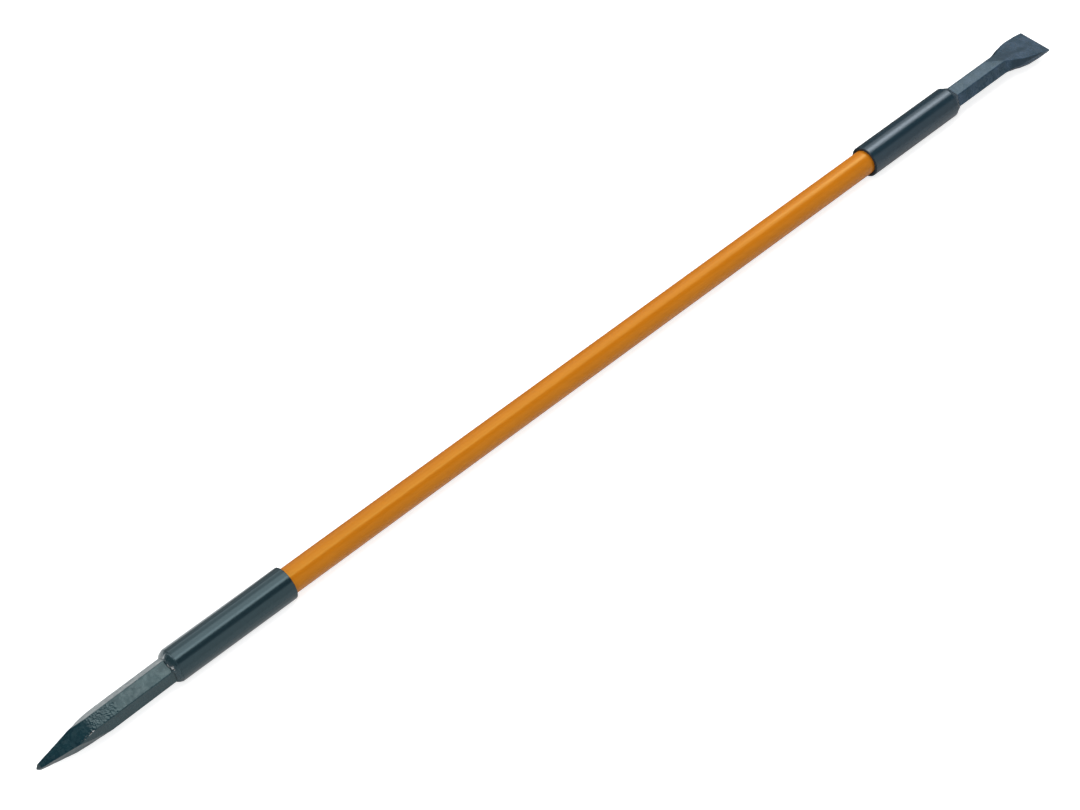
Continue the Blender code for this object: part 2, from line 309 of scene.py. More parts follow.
# %% [markdown]
# ## Finishes
#
# A finish is a Principled shader and the nodes that feed it. A few helpers keep the node trees
# short. A socket is given either another node's output, which is linked, or a plain value, and
# its id_data is the tree in which the next node has to be made.

# %% Node helpers
def plug(socket, value):
    """Links another node's output to the socket, or sets the socket to a plain value."""
    if isinstance(value, bpy.types.NodeSocket):
        socket.id_data.links.new(value, socket)
    elif socket.type == "RGBA":
        socket.default_value = (*value, 1.0)
    else:
        socket.default_value = value


def set_sockets(node, **values):
    """Plugs each value into the socket of that name, where _ stands for a space."""
    for label, value in values.items():
        plug(node.inputs[label.replace("_", " ")], value)


def add_node(tree, kind, settings=None, **sockets):
    """A new node with its settings and sockets."""
    node = tree.nodes.new("ShaderNode" + kind)
    for setting, value in (settings or {}).items():
        setattr(node, setting, value)
    set_sockets(node, **sockets)
    return node


def new_finish(name):
    """A material, its Principled shader and its Object coordinates."""
    material = bpy.data.materials.new(name)
    material.use_nodes = True
    tree = material.node_tree
    return material, tree.nodes["Principled BSDF"], add_node(tree, "TexCoord").outputs["Object"]


def calculated(operation, *values, clamp=False):
    """Result of a Math node on the values, the first of which is an output."""
    node = add_node(values[0].id_data, "Math", {"operation": operation, "use_clamp": clamp})
    for socket, value in zip(node.inputs, values):
        plug(socket, value)
    return node.outputs[0]


def mixed(share, first, second, numbers=False):
    """Goes from first to second as share goes from 0 to 1. Both are colours, or numbers."""
    node = add_node(share.id_data, "Mix", {"data_type": "FLOAT" if numbers else "RGBA"})
    places = (0, 2, 3) if numbers else (0, 6, 7)
    for place, value in zip(places, (share, first, second)):
        plug(node.inputs[place], value)
    return node.outputs[0 if numbers else 2]

# %% [markdown]
# ## Patterns
#
# Colour, roughness and bump come from noise on Object coordinates, so that a pattern stays on
# the piece from every side. Squeezing the coordinates draws it out along the bar.

# %% Pattern helpers
def noise(where, size, detail=3.0):
    """Noise from about 0.3 to 0.7 whose patches are about size metres across."""
    return add_node(where.id_data, "TexNoise", Vector=where, Scale=1.0 / size, Detail=detail,
                    Roughness=0.55).outputs["Fac"]


def spread_out(value, low, high, to_low=0.0, to_high=1.0):
    """Maps low..high onto to_low..to_high, held at both ends."""
    return add_node(value.id_data, "MapRange", Value=value, From_Min=low, From_Max=high,
                    To_Min=to_low, To_Max=to_high).outputs["Result"]


def along_bar(where, share):
    """Coordinates that run slower along the bar, so that a pattern is drawn out there."""
    return add_node(where.id_data, "Mapping", Vector=where,
                    Scale=(share, 1.0, 1.0)).outputs["Vector"]


def bumpy(height, distance, strength):
    return add_node(height.id_data, "Bump", Height=height, Distance=distance,
                    Strength=strength).outputs["Normal"]


def darker(colour, share):
    return tuple(share * value for value in colour)

# %% [markdown]
# ## Paint on forged steel
#
# The bars are dipped in a thin dark paint: grey-green at the point, bluer at the chisel. Two tones
# of it lie in random blotches, and it takes a soft grain from the scale below. The pieces mark
# three things in attributes: where the steel shows bare, where the paint is paler, which is
# rubbed paint on the point's tip and a painted highlight along the chisel's weld, and where it is
# darker and duller, which is painted shade on the chisel and beside the welds.

# %% Mix the paint for the forged bars
PAINT_IOR = 1.60
BARE_STEEL = (0.52, 0.53, 0.54)
# Paler paint: rubbed on the point's tip, and a painted highlight along the chisel's weld.
RUBBED_AND_HIGHLIGHT_PAINT = (0.080, 0.105, 0.110)


def forging_paint(name, thin, thick, tint, roughness=0.25, blotch_size=0.016, mottling=0.30):
    """Two tones in blotches, finer mottling, grain in the bump, and bare steel where marked."""
    material, shader, where = new_finish(name)
    scuffed_and_highlight, painted_shade, bare = (
        add_node(material.node_tree, "Attribute", {"attribute_name": mark}).outputs["Fac"]
        for mark in ("scuffed_and_highlight", "painted_shade", "bare_steel"))
    tone = mixed(spread_out(noise(where, blotch_size), 0.38, 0.62), thick, thin)
    mottle = spread_out(noise(where, 0.0022, 4.0), 0.40, 0.70, 0.0, mottling)
    tone = mixed(mottle, tone, darker(thick, 0.62))
    # Paler where marked: rubbed paint on the point's tip, a painted highlight on the chisel's
    # weld.
    tone = mixed(scuffed_and_highlight, tone, RUBBED_AND_HIGHLIGHT_PAINT)
    # Painted shade: darker where marked, and duller below, on the chisel and beside the welds.
    tone = mixed(painted_shade, tone, darker(thick, 0.45))
    flake = spread_out(noise(where, 0.0016, 2.0), 0.40, 0.60, -0.35, 0.35)
    bare = spread_out(calculated("ADD", bare, flake, clamp=True), 0.45, 0.60)
    rough = spread_out(noise(where, 0.006), 0.35, 0.65, roughness - 0.05, roughness + 0.10)
    set_sockets(shader, Base_Color=mixed(bare, tone, BARE_STEEL), Metallic=bare,
                Roughness=calculated("MULTIPLY_ADD", painted_shade, 0.45, rough, clamp=True),
                IOR=PAINT_IOR, Specular_Tint=tint,
                Normal=bumpy(noise(where, 0.0011), 0.00006, 0.6))
    return material


point_paint = forging_paint("point_paint", (0.006, 0.034, 0.046), (0.0035, 0.024, 0.036),
                            (0.79, 0.98, 0.97))
chisel_paint = forging_paint("chisel_paint", (0.032, 0.065, 0.110), (0.010, 0.036, 0.064),
                             (0.38, 0.48, 0.47), blotch_size=0.014)
print("mixed", point_paint.name, "and", chisel_paint.name)

# %% [markdown]
# ## Glossy paint on the sockets
#
# The tubes are smooth, so their paint shows long clear reflections. It still has the faint
# orange-peel skin of sprayed paint and slow changes in tone along the tube.

# %% Mix the socket paint
SOCKET_ROUGHNESS = 0.17


def socket_finish(name, deep, pale, tint):
    """Slow streaks of tone along the bar, orange peel in the bump, dull specks of dust."""
    material, shader, where = new_finish(name)
    streak = spread_out(noise(along_bar(where, 0.12), 0.010), 0.35, 0.65)
    dust = spread_out(noise(where, 0.0035, 4.0), 0.35, 0.75, SOCKET_ROUGHNESS - 0.02,
                      SOCKET_ROUGHNESS + 0.06)
    set_sockets(shader, Base_Color=mixed(streak, deep, pale), Roughness=dust,
                IOR=PAINT_IOR, Specular_Tint=tint,
                Normal=bumpy(noise(where, 0.0016, 1.0), 0.00002, 0.5))
    return material


point_socket_paint = socket_finish("point_socket_paint", (0.0096, 0.0242, 0.0315),
                                   (0.0116, 0.0273, 0.0355), (0.68, 0.93, 1.0))
chisel_socket_paint = socket_finish("chisel_socket_paint", (0.0108, 0.0270, 0.0385),
                                    (0.0130, 0.0305, 0.0435), (0.76, 0.88, 1.0))
print("mixed", point_socket_paint.name, "and", chisel_socket_paint.name)

# %% [markdown]
# ## Orange sleeve, adhesive and the hidden layers
#
# The sleeve is extruded plastic with a satin skin, so its grain is drawn out along the bar. The
# adhesive is black and set with a dull shine. The core and the warning layer can't be seen, but
# they are real pieces, so they get their own glass fibres and their own yellow plastic.

# %% Mix the finishes of the shaft
PLASTIC_IOR = 1.50


def drawn_plastic(name, colour, pale, roughness, tint):
    """Plastic with fine lines and slow bands that run along the bar."""
    material, shader, where = new_finish(name)
    lines = noise(along_bar(where, 0.02), 0.0009, 2.0)
    bands = spread_out(noise(along_bar(where, 0.25), 0.020), 0.35, 0.65)
    tone = mixed(spread_out(lines, 0.50, 0.75, 0.0, 0.30), mixed(bands, colour, pale),
                 darker(colour, 0.86))
    rough = spread_out(lines, 0.3, 0.7, roughness - 0.04, roughness + 0.06)
    set_sockets(shader, Base_Color=tone, Roughness=rough, IOR=PLASTIC_IOR,
                Specular_Tint=tint, Normal=bumpy(lines, 0.00002, 0.4))
    return material


def set_adhesive(name):
    """Near-black resin with small pits and a duller skin in patches."""
    material, shader, where = new_finish(name)
    patch = noise(where, 0.004)
    tone = mixed(patch, (0.012, 0.010, 0.011), (0.022, 0.017, 0.016))
    set_sockets(shader, Base_Color=tone, Roughness=spread_out(patch, 0.3, 0.7, 0.35, 0.60),
                Normal=bumpy(noise(where, 0.0012), 0.0001, 0.6))
    return material


def glass_fibres(name):
    """Pale fibres drawn along the rod in clear yellowish resin."""
    material, shader, where = new_finish(name)
    fibre = noise(along_bar(where, 0.01), 0.0005, 2.0)
    tone = mixed(spread_out(fibre, 0.4, 0.6), (0.30, 0.28, 0.19), (0.52, 0.50, 0.40))
    set_sockets(shader, Base_Color=tone, Roughness=spread_out(fibre, 0.3, 0.7, 0.35, 0.55),
                Normal=bumpy(fibre, 0.00005, 0.5))
    return material


orange_plastic = drawn_plastic("orange_plastic", (0.535, 0.167, 0.0072), (0.555, 0.178, 0.0084),
                               0.20, (1.0, 0.86, 0.22))
warning_plastic = drawn_plastic("warning_plastic", (0.74, 0.58, 0.06), (0.80, 0.66, 0.10), 0.40,
                                (1.0, 1.0, 1.0))
adhesive = set_adhesive("adhesive")
fibre_rod = glass_fibres("fibre_rod")
print("mixed", orange_plastic.name, warning_plastic.name, adhesive.name, fibre_rod.name)

# %% [markdown]
# ## The orange sleeve
#
# A plain tube over the whole shaft, 1.07 m long, whose ends sit inside the sockets. Its edges
# are cut and slightly broken, so its profile is a rectangle with eased corners.

# %% Turn the sleeve
SLEEVE_BORE_RADIUS = 0.0136
sleeve_corners = [(SHAFT_START_X, SHAFT_RADIUS), (SHAFT_END_X, SHAFT_RADIUS),
                  (SHAFT_END_X, SLEEVE_BORE_RADIUS), (SHAFT_START_X, SLEEVE_BORE_RADIUS)]
orange_sleeve = skin("orange_sleeve", turned(eased(sleeve_corners, 0.0004)), orange_plastic,
                     looped=True)

# %% [markdown]
# ## The sockets
#
# Each socket is a length of steel tube. At the mouth, over the shaft, its outer edge is broken
# by a small bevel. The nose, where the bar comes out, has a long bevel that leaves room for the
# weld.

# %% Turn the two sockets
MOUTH_BEVEL = 0.0008
POINT_NOSE_BEVEL, CHISEL_NOSE_BEVEL = 0.0032, 0.0034
NOSE_LIP = 0.0006  # width of the flat ring that the bevel leaves of the nose


def socket_tube(name, nose_x, mouth_x, nose_bevel, finish):
    """Profile in rising x: bevelled nose or mouth, outside, then back along the bore."""
    inward = math.copysign(1.0, mouth_x - nose_x)
    nose = [(nose_x, BORE_RADIUS), (nose_x, BORE_RADIUS + NOSE_LIP),
            (nose_x + inward * nose_bevel, SOCKET_RADIUS)]
    mouth = [(mouth_x - inward * MOUTH_BEVEL, SOCKET_RADIUS),
             (mouth_x, SOCKET_RADIUS - MOUTH_BEVEL), (mouth_x, BORE_RADIUS)]
    corners = nose + mouth if inward > 0 else mouth[::-1] + nose[::-1]
    return skin(name, turned(eased(corners, 0.00028)), finish, looped=True)


point_socket_tube = socket_tube("point_socket_tube", POINT_NOSE_X, POINT_MOUTH_X,
                                POINT_NOSE_BEVEL, point_socket_paint)
chisel_socket_tube = socket_tube("chisel_socket_tube", CHISEL_NOSE_X, CHISEL_MOUTH_X,
                                 CHISEL_NOSE_BEVEL, chisel_socket_paint)

# %% [markdown]
# ## The adhesive
#
# Adhesive fills the space between shaft and tube and ends just inside the mouth. While it was
# wet it crept up both walls, so its face is hollow like the surface of water in a glass. The
# profile runs from the axis out and back to the axis, and closes itself there.

# %% Turn the two adhesive cups
GAP = 0.0003  # between the adhesive and the bar's end, as in the solids
BOND_RECESS = 0.0012  # how far the adhesive ends inside the mouth
BOND_FLOOR = 0.005  # adhesive between the bar and the shaft
BOND_PLAY = 0.00005  # between the adhesive and each wall
CREEP = 0.0007  # how much higher the adhesive stands at the walls than in the middle


def adhesive_cup(name, nose_x, mouth_x, finish):
    """Cup round the shaft's end; its face sinks by CREEP * (1 - (2 v - 1)^4) between the walls."""
    inward = math.copysign(1.0, mouth_x - nose_x)
    floor_x = nose_x + inward * (BAR_SEAT + GAP)
    seat_x = nose_x + inward * (BAR_SEAT + BOND_FLOOR - GAP)
    face_x = mouth_x - inward * (BOND_RECESS - CREEP / 2)
    across = np.linspace(0.0, 1.0, 9)
    outer, inner = BORE_RADIUS - BOND_PLAY, SHAFT_RADIUS + BOND_PLAY
    face = joined(face_x - inward * CREEP * (1.0 - (2.0 * across - 1.0) ** 4),
                  outer + (inner - outer) * across)
    profile = np.vstack([[(floor_x, 0.0), (floor_x, outer)], face,
                         [(seat_x, inner), (seat_x, 0.0)]])
    return skin(name, turned(profile if inward > 0 else profile[::-1], 96), finish)


point_adhesive = adhesive_cup("point_adhesive", POINT_NOSE_X, POINT_MOUTH_X, adhesive)
chisel_adhesive = adhesive_cup("chisel_adhesive", CHISEL_NOSE_X, CHISEL_MOUTH_X, adhesive)

# %% [markdown]
# ## The forged point
#
# Six flats make the bar. Four more are drawn to the point with the hammer, and four steep ones
# blunt the tip. The smith drew the face towards -Y less steeply and turned it up a little, so
# the tip lies off the middle line. The whole bar also sits turned and leans in its socket, as it
# was welded, so it is shaped straight first and turned last.

# %% Set the sizes and the place of the point
POINT_REACH = 0.1647  # from the nose of the socket to the tip
POINT_ROLL, POINT_LEAN = math.radians(22.0), math.radians(1.0)
POINT_TAPERS = np.radians([10.2, 8.4, 10.2, 9.7])  # faces above, to -Y, below and to +Y
POINT_TIP_HALVES = np.array([0.0017, 0.0030, 0.0017, 0.0017])  # middle line to each, at the tip
POINT_NEAR_TILT = math.radians(2.5)
POINT_BLUNTINGS = np.radians([27.0, 40.0, 27.0, 43.0])
POINT_BLUNT_HALF, POINT_TIP_OFFSET = 0.0004, 0.0009
SWELL_HEIGHTS = np.array([0.0, 0.0005, 0.0, 0.0012])  # of the same four faces
SWELL_PLACES = np.array([0.060, 0.054, 0.060, 0.065])  # from the tip
SWELL_HALF_LENGTHS = np.array([0.012, 0.012, 0.012, 0.015])
point_length = BAR_SEAT + POINT_REACH
top_face_length = (FLAT_RADIUS - POINT_TIP_HALVES[0]) / math.tan(POINT_TAPERS[0])


def spun(first, second, angle):
    """(first cos - second sin, first sin + second cos): both coordinates after a turn."""
    cos, sin = math.cos(angle), math.sin(angle)
    return first * cos - second * sin, first * sin + second * cos


def point_to_world(local):
    """Turns by the roll about X, then by the lean about Z, and moves to the bar's inner end."""
    y, z = spun(local[..., 1], local[..., 2], POINT_ROLL)
    x, y = spun(local[..., 0], y, POINT_LEAN)
    return joined(x + POINT_NOSE_X + BAR_SEAT, y, z + AXIS_HEIGHT)

# %% [markdown]
# ## The point in slices
#
# Each slice is bounded by 14 flats: six of the bar, four drawn ones and four steep ones. All
# keep their facing along the bar, while the drawn and the steep ones lie farther out the farther
# a slice is from the tip. Two of the drawn faces swell a little, where the hammer left them
# fuller.

# %% Shape the forged point
def point_flats(from_tip):
    """Facing and reach of the 14 flats in each slice, seen from the line through the tip."""
    quarters = np.radians([90.0, 180.0, 270.0, 0.0])
    drawn = quarters - POINT_NEAR_TILT * np.array([0.0, 1.0, 0.0, 0.0])
    facing = np.concatenate([HEXAGON_FACING, drawn, quarters])
    swells = SWELL_HEIGHTS * bell(from_tip, SWELL_PLACES, SWELL_HALF_LENGTHS)
    blunt = POINT_BLUNT_HALF + POINT_TIP_OFFSET * np.array([0.0, 1.0, 0.0, -1.0])
    reach = np.hstack([np.full((len(from_tip), 6), FLAT_RADIUS),
                       POINT_TIP_HALVES + from_tip * np.tan(POINT_TAPERS) + swells,
                       blunt + from_tip * np.tan(POINT_BLUNTINGS)])
    return facing, reach + POINT_TIP_OFFSET * np.cos(facing)


def forged_point_rings(around=240):
    """Rings of the point in its own frame, tip at x = -length, before any relief."""
    places = np.concatenate([np.arange(-point_length, -BAR_SEAT + 0.002, 0.0005),
                             np.linspace(-BAR_SEAT + 0.004, 0.0, 10)])
    x, inset, spread = stations(places, 0.00022, 0.001)
    facing, reach = point_flats((x + point_length)[:, None])
    reach = np.maximum(reach - inset[:, None], 1e-5)
    turn = whole_turn(around)[None, :]
    radius = flats_radius(turn, facing[None, :], reach) * spread[:, None]
    return joined(x[:, None], radius * np.cos(turn) - POINT_TIP_OFFSET, radius * np.sin(turn))


point_rings = forged_point_rings()
point_width = np.ptp(point_rings[..., 1])
print(f"forged point {point_length * 1000:.1f} mm long, {point_width * 1000:.2f} mm across")

# %% [markdown]
# ## Hammer marks, pits and chips on the point
#
# The drawn faces carry broad hammer marks. Behind the top face, scale left a field of small pits
# on the flat, and the ridge beside them is chipped. Pits and chips are dents at seeded random
# spots, so they come out the same each time.

# %% Hammer the point
SCALE_PITS, SCALE_PIT_RADII, SCALE_PIT_DEPTHS = 170, (0.0005, 0.0009), (0.00010, 0.00026)
RIDGE_CHIPS, CHIP_RADIUS, CHIP_DEPTH = 26, 0.0008, 0.00020


def chipped_ridge(x):
    """Sideways place and height of the ridge between the top face and the flat beside it."""
    z = POINT_TIP_HALVES[0] + (x + point_length) * math.tan(POINT_TAPERS[0])
    z = np.minimum(z, FLAT_RADIUS)
    return -(FLAT_RADIUS - 0.5 * z) / math.cos(math.pi / 6), z


def point_relief(rings):
    """Height over the plain point: waves of the hammer, a shallow scoop and grain."""
    x, y, z = rings[..., 0], rings[..., 1], rings[..., 2]
    face_end = top_face_length - point_length
    forged = smooth_step(x, face_end + 0.013, face_end - 0.007)  # 1 on the drawn faces
    on_top = smooth_step(z, 0.0105, 0.0125) * smooth_step(np.abs(y), 0.0085, 0.0070)
    scaled = window(x - face_end, -0.003, 0.001, 0.016, 0.040)
    height = 0.00004 * forged * waves(rings, 0.011, 1)
    height += 0.00001 * waves(rings, 0.004, 2)
    height += 0.00003 * scaled * on_top * (waves(rings, 0.0026, 3) + waves(rings, 0.0015, 4))
    scoop = bell(x, face_end - 0.002, 0.006) * bell(y, 0.001, 0.0050)
    return height - 0.00030 * scoop * smooth_step(z, 0.009, 0.011)


def pits_in_the_scale(rings):
    """Small dents at seeded random spots: dense behind the top face, fewer farther back."""
    random = np.random.default_rng(5)
    along = top_face_length - 0.0010 + 0.034 * random.beta(1.1, 2.0, SCALE_PITS)
    aside = random.uniform(-0.0072, 0.0066, SCALE_PITS)
    depth = random.uniform(*SCALE_PIT_DEPTHS, SCALE_PITS)
    radius = random.uniform(*SCALE_PIT_RADII, SCALE_PITS)
    return dents(rings, joined(along - point_length, aside, FLAT_RADIUS), radius, depth)


def chips_along_the_ridge(rings):
    """Hollows along the lower ridge of the top face and beside it, at seeded random spots."""
    random = np.random.default_rng(7)
    x = top_face_length - random.uniform(0.0, 0.014, RIDGE_CHIPS) - point_length
    y, z = chipped_ridge(x)
    aside = np.abs(random.normal(0.0, 0.0014, RIDGE_CHIPS))
    return dents(rings, joined(x, y + aside, z), CHIP_RADIUS, CHIP_DEPTH)


point_chips = chips_along_the_ridge(point_rings)
point_height = point_relief(point_rings) + pits_in_the_scale(point_rings) + point_chips
print(f"deepest dent in the point {-point_height.min() * 1000:.2f} mm")

# %% [markdown]
# ## Worn paint on the point
#
# Along the chipped ridge the paint is gone, and on the struck tip it is rubbed pale. The finish
# can't know where that is, so the piece carries marks: one number from 0 to 1 at each point.

# %% Mark the worn places and skin the point
RUBBED_HALF_WIDTH = 0.0006


def rubbed_ridge(rings):
    """Bare steel along the last 8 mm of the chipped ridge, a bell curve across it."""
    x = rings[..., 0]
    y, z = chipped_ridge(x)
    distance = np.hypot(rings[..., 1] - y - 0.0003, rings[..., 2] - z)
    from_end = x + point_length - top_face_length
    stretch = window(from_end, -0.0085, -0.0060, 0.0002, 0.0012)
    return stretch * bell(distance, 0.0, RUBBED_HALF_WIDTH)


def struck_tip(rings):
    """1 on the small steep face on top of the tip, where the paint is knocked dull."""
    from_tip = rings[..., 0] + point_length
    face = POINT_BLUNT_HALF + from_tip * math.tan(POINT_BLUNTINGS[0])
    on_face = smooth_step(rings[..., 2] - face, -0.0006, -0.0002)
    return smooth_step(from_tip, 0.0046, 0.0036) * on_face


bare_chips = 0.60 * smooth_step(-point_chips, CHIP_DEPTH / 2, CHIP_DEPTH)
point_marks = {"bare_steel": np.maximum(bare_chips, rubbed_ridge(point_rings)),
               "scuffed_and_highlight": 0.8 * struck_tip(point_rings)}
forged_point = skin("forged_point", point_to_world(raised(point_rings, point_height)),
                    point_paint, marks=point_marks)

# %% [markdown]
# ## The forged chisel
#
# The same hexagon runs into a blade. A shallow shoulder leads to the forged upper face, which
# meets the lower one at an edge a little below the middle line. The smith's far side flares out
# at once and the near side slowly, and the near flank was left steeper, so the two sides differ.
# That makes many sizes, and each has its own name, so that one can be changed without the rest.

# %% Set the sizes of the chisel
CHISEL_REACH = 0.1633  # from the nose of the socket to the edge
CHISEL_ROLL = math.radians(6.0)
BLADE_LENGTH = 0.0809
BLADE_WIDTH, BLADE_ROOT_WIDTH = 0.0450, 0.0424  # the eased ridges take 0.4 mm away again
EDGE_THICKNESS, EDGE_DROP = 0.0017, 0.00565
SHOULDER_BEFORE, SHOULDER_HEIGHT, SHOULDER_SLOPE = 0.0059, 0.0133, 0.0736
UPPER_FACE_AFTER, UPPER_FACE_HEIGHT = 0.0086, 0.0122  # where the main face starts, how high
EDGE_BEVEL_SLOPE, EDGE_BEVEL_HALF = 0.54, 0.00035  # a narrow steeper strip along the edge
FLARE_AFTER, FLARE_LENGTH = 0.0101, 0.0390
NEAR_WALL_AFTER, FAR_FLARE_AFTER = 0.0112, 0.0106
NEAR_WALL_TOP, SIDE_WALL = 0.0024, 0.0068
NEAR_FLANK_STEEPER = math.radians(12.5)
STEEPER_AFTER, STEEPER_LENGTH = 0.0106, 0.024
FAR_SIDE_NARROWER, EDGE_ASIDE = 0.0003, 0.0004  # the edge lies aside, towards -Y
WALL_CLEAR = 0.002  # how far a side wall starts outside the hexagon's ridge
CORNER_EASE = 0.0012  # rounding of the blade's two corners, seen from above
chisel_length = BAR_SEAT + CHISEL_REACH
blade_start = chisel_length - BLADE_LENGTH
CORNER_RADIUS = FLAT_RADIUS / math.cos(math.pi / 6)
print(f"the blade takes {BLADE_LENGTH / CHISEL_REACH:.0%} of the free length")

# %% [markdown]
# ## Curves of the blade
#
# Width and height change along the blade, each from one place to another. A share from 0 to 1
# between two places is bent into a soft rise or an abrupt one and then scales the size.

# %% Draw the curves of the blade
def share_of(along, start, length):
    """0 before start, 1 after the length, and even between them."""
    return np.clip((along - start) / length, 0.0, 1.0)


def risen(along, start, length):
    """Half a cosine wave from 0 to 1: 1/2 - 1/2 cos(pi share)."""
    return 0.5 - 0.5 * np.cos(math.pi * share_of(along, start, length))


def risen_at_once(along, start, length):
    """Quarter of a sine wave from 0 to 1: sin(pi/2 share)."""
    return np.sin(0.5 * math.pi * share_of(along, start, length))


def half_width(flare, spread):
    """Half width of one side: hexagon corner to blade root with flare, to edge with spread."""
    width = CORNER_RADIUS + (BLADE_ROOT_WIDTH / 2 - CORNER_RADIUS) * flare
    return width + (BLADE_WIDTH - BLADE_ROOT_WIDTH) / 2 * spread


def flank_reach(width, wall_top, facing):
    """Reach of the sloping flat through the top of a side wall: w |cos a| + h |sin a|."""
    return width * np.abs(np.cos(facing)) + wall_top * np.abs(np.sin(facing))


def upper_height(along):
    """Height of the shoulder, the main face and the strip along the edge, whichever is lowest."""
    shoulder = SHOULDER_HEIGHT - SHOULDER_SLOPE * (along + SHOULDER_BEFORE)
    edge = EDGE_THICKNESS / 2 - EDGE_DROP
    slope = (UPPER_FACE_HEIGHT - edge) / (BLADE_LENGTH - UPPER_FACE_AFTER)
    main = edge + slope * (BLADE_LENGTH - along)
    strip = EDGE_BEVEL_HALF - EDGE_DROP + EDGE_BEVEL_SLOPE * (BLADE_LENGTH - along)
    return joined(shoulder, main, strip)

# %% [markdown]
# ## The blade in slices
#
# Each slice of the chisel is bounded by 12 flats: two side walls, the hexagon's six, of which
# four slide out and become the sloping flanks, then the shoulder, the main face, the strip and
# the lower face. Where two of them stand for one side, the nearer one counts, so a face can
# begin or end along the blade by itself.

# %% List the flats of the chisel
def chisel_flats(x):
    """Facing and reach of the 12 flats at each x, then the drop and shift of their centre."""
    along = x - blade_start
    drop = EDGE_DROP * share_of(along, 0.0, BLADE_LENGTH)
    flare = risen(along, FLARE_AFTER, FLARE_LENGTH)
    near_flare = risen(along, NEAR_WALL_AFTER, FLARE_LENGTH)
    far_flare = risen_at_once(along, FAR_FLARE_AFTER, FLARE_LENGTH) ** 1.5
    flared = FLARE_AFTER + FLARE_LENGTH
    spread = share_of(along, flared, BLADE_LENGTH - flared)
    steeper = NEAR_FLANK_STEEPER * risen_at_once(along, STEEPER_AFTER, STEEPER_LENGTH)
    turns = np.radians([0.0, 30.0, 90.0, 150.0, 180.0, 210.0, 270.0, 330.0])[None, :]
    turns = turns + steeper[:, None] * np.array([0, 0, 0, 1, 0, 0, 0, 0])
    near = half_width(near_flare, spread)
    far = half_width(far_flare, spread) - FAR_SIDE_NARROWER * far_flare
    past = share_of(x, chisel_length - CORNER_EASE, CORNER_EASE)
    corner = CORNER_EASE * (1.0 - np.sqrt(1.0 - past ** 2))
    half_wall = SIDE_WALL / 2
    far_flank = flank_reach(far, half_wall * far_flare, turns[:, 1])
    near_flank = flank_reach(half_width(flare, spread), NEAR_WALL_TOP * flare, turns[:, 3])
    low_flank = flank_reach(near, half_wall * near_flare, turns[:, 5])
    flat = np.full_like(x, FLAT_RADIUS)
    reach = joined(far + WALL_CLEAR * (1.0 - far_flare) - corner, far_flank, flat, near_flank,
                   near + WALL_CLEAR * (1.0 - near_flare) - corner, low_flank, flat, far_flank)
    sloping = np.array([0, 1, 1, 1, 0, 1, 1, 1])
    reach += sloping * np.sin(turns) * (drop * (1.0 - flare))[:, None]
    upper = upper_height(along) + drop[:, None]
    lower = EDGE_THICKNESS / 2 + EDGE_DROP - FLAT_RADIUS
    lower = FLAT_RADIUS + lower * along / BLADE_LENGTH - drop
    facing = turns + (CHISEL_ROLL * (1.0 - flare))[:, None]
    level = np.broadcast_to(np.radians([90.0, 90.0, 90.0, 270.0]), (len(x), 4))
    return (np.hstack([facing, level]), np.hstack([reach, upper, lower[:, None]]), drop,
            EDGE_ASIDE * spread)

# %% [markdown]
# ## Rings on an ellipse
#
# A slice of the blade is wide and thin. Even turns would crowd its points at the side walls, so
# the turns are spaced on an ellipse of the same proportions:
# tan(turn) = (height / width) tan(even turn). That keeps points on the wide faces.

# %% Shape the forged chisel
def forged_chisel_rings(around=256):
    """Rings of the chisel in its own frame, edge at x = length, before any relief."""
    places = np.concatenate([np.linspace(0.0, BAR_SEAT - 0.003, 9),
                             np.arange(BAR_SEAT - 0.001, blade_start - 0.006, 0.0010),
                             np.arange(blade_start - 0.006, chisel_length - 0.0022, 0.00042),
                             np.linspace(chisel_length - 0.0022, chisel_length, 12)])
    x, inset, spread = stations(places, 0.001, 0.0004)
    facing, reach, drop, aside = chisel_flats(x)
    width = np.minimum(reach[:, 4], BLADE_WIDTH / 2)[:, None]
    height = np.minimum(reach[:, 8:11].min(axis=1), FLAT_RADIUS)[:, None]
    reach = np.maximum(reach - inset[:, None], 1e-5)
    even = whole_turn(around)[None, :]
    turn = np.arctan2(height * np.sin(even), width * np.cos(even))
    radius = flats_radius(turn, facing, reach) * spread[:, None]
    return joined(x[:, None], radius * np.cos(turn) - aside[:, None],
                  radius * np.sin(turn) - drop[:, None])


chisel_rings = forged_chisel_rings()
blade_width = np.ptp(chisel_rings[..., 1])
print(f"forged chisel {chisel_length * 1000:.1f} mm long, blade {blade_width * 1000:.2f} mm wide")

# %% [markdown]
# ## Hammer marks on the chisel
#
# The blade's faces carry broad hammer marks and fine scale, and a few pits lie near the edge.
# The hammer marks fade out at the side walls, because a forged face is struck in its middle.

# %% Hammer the chisel
EDGE_PITS, EDGE_PIT_RADIUS, EDGE_PIT_DEPTH = 26, 0.0009, 0.00012


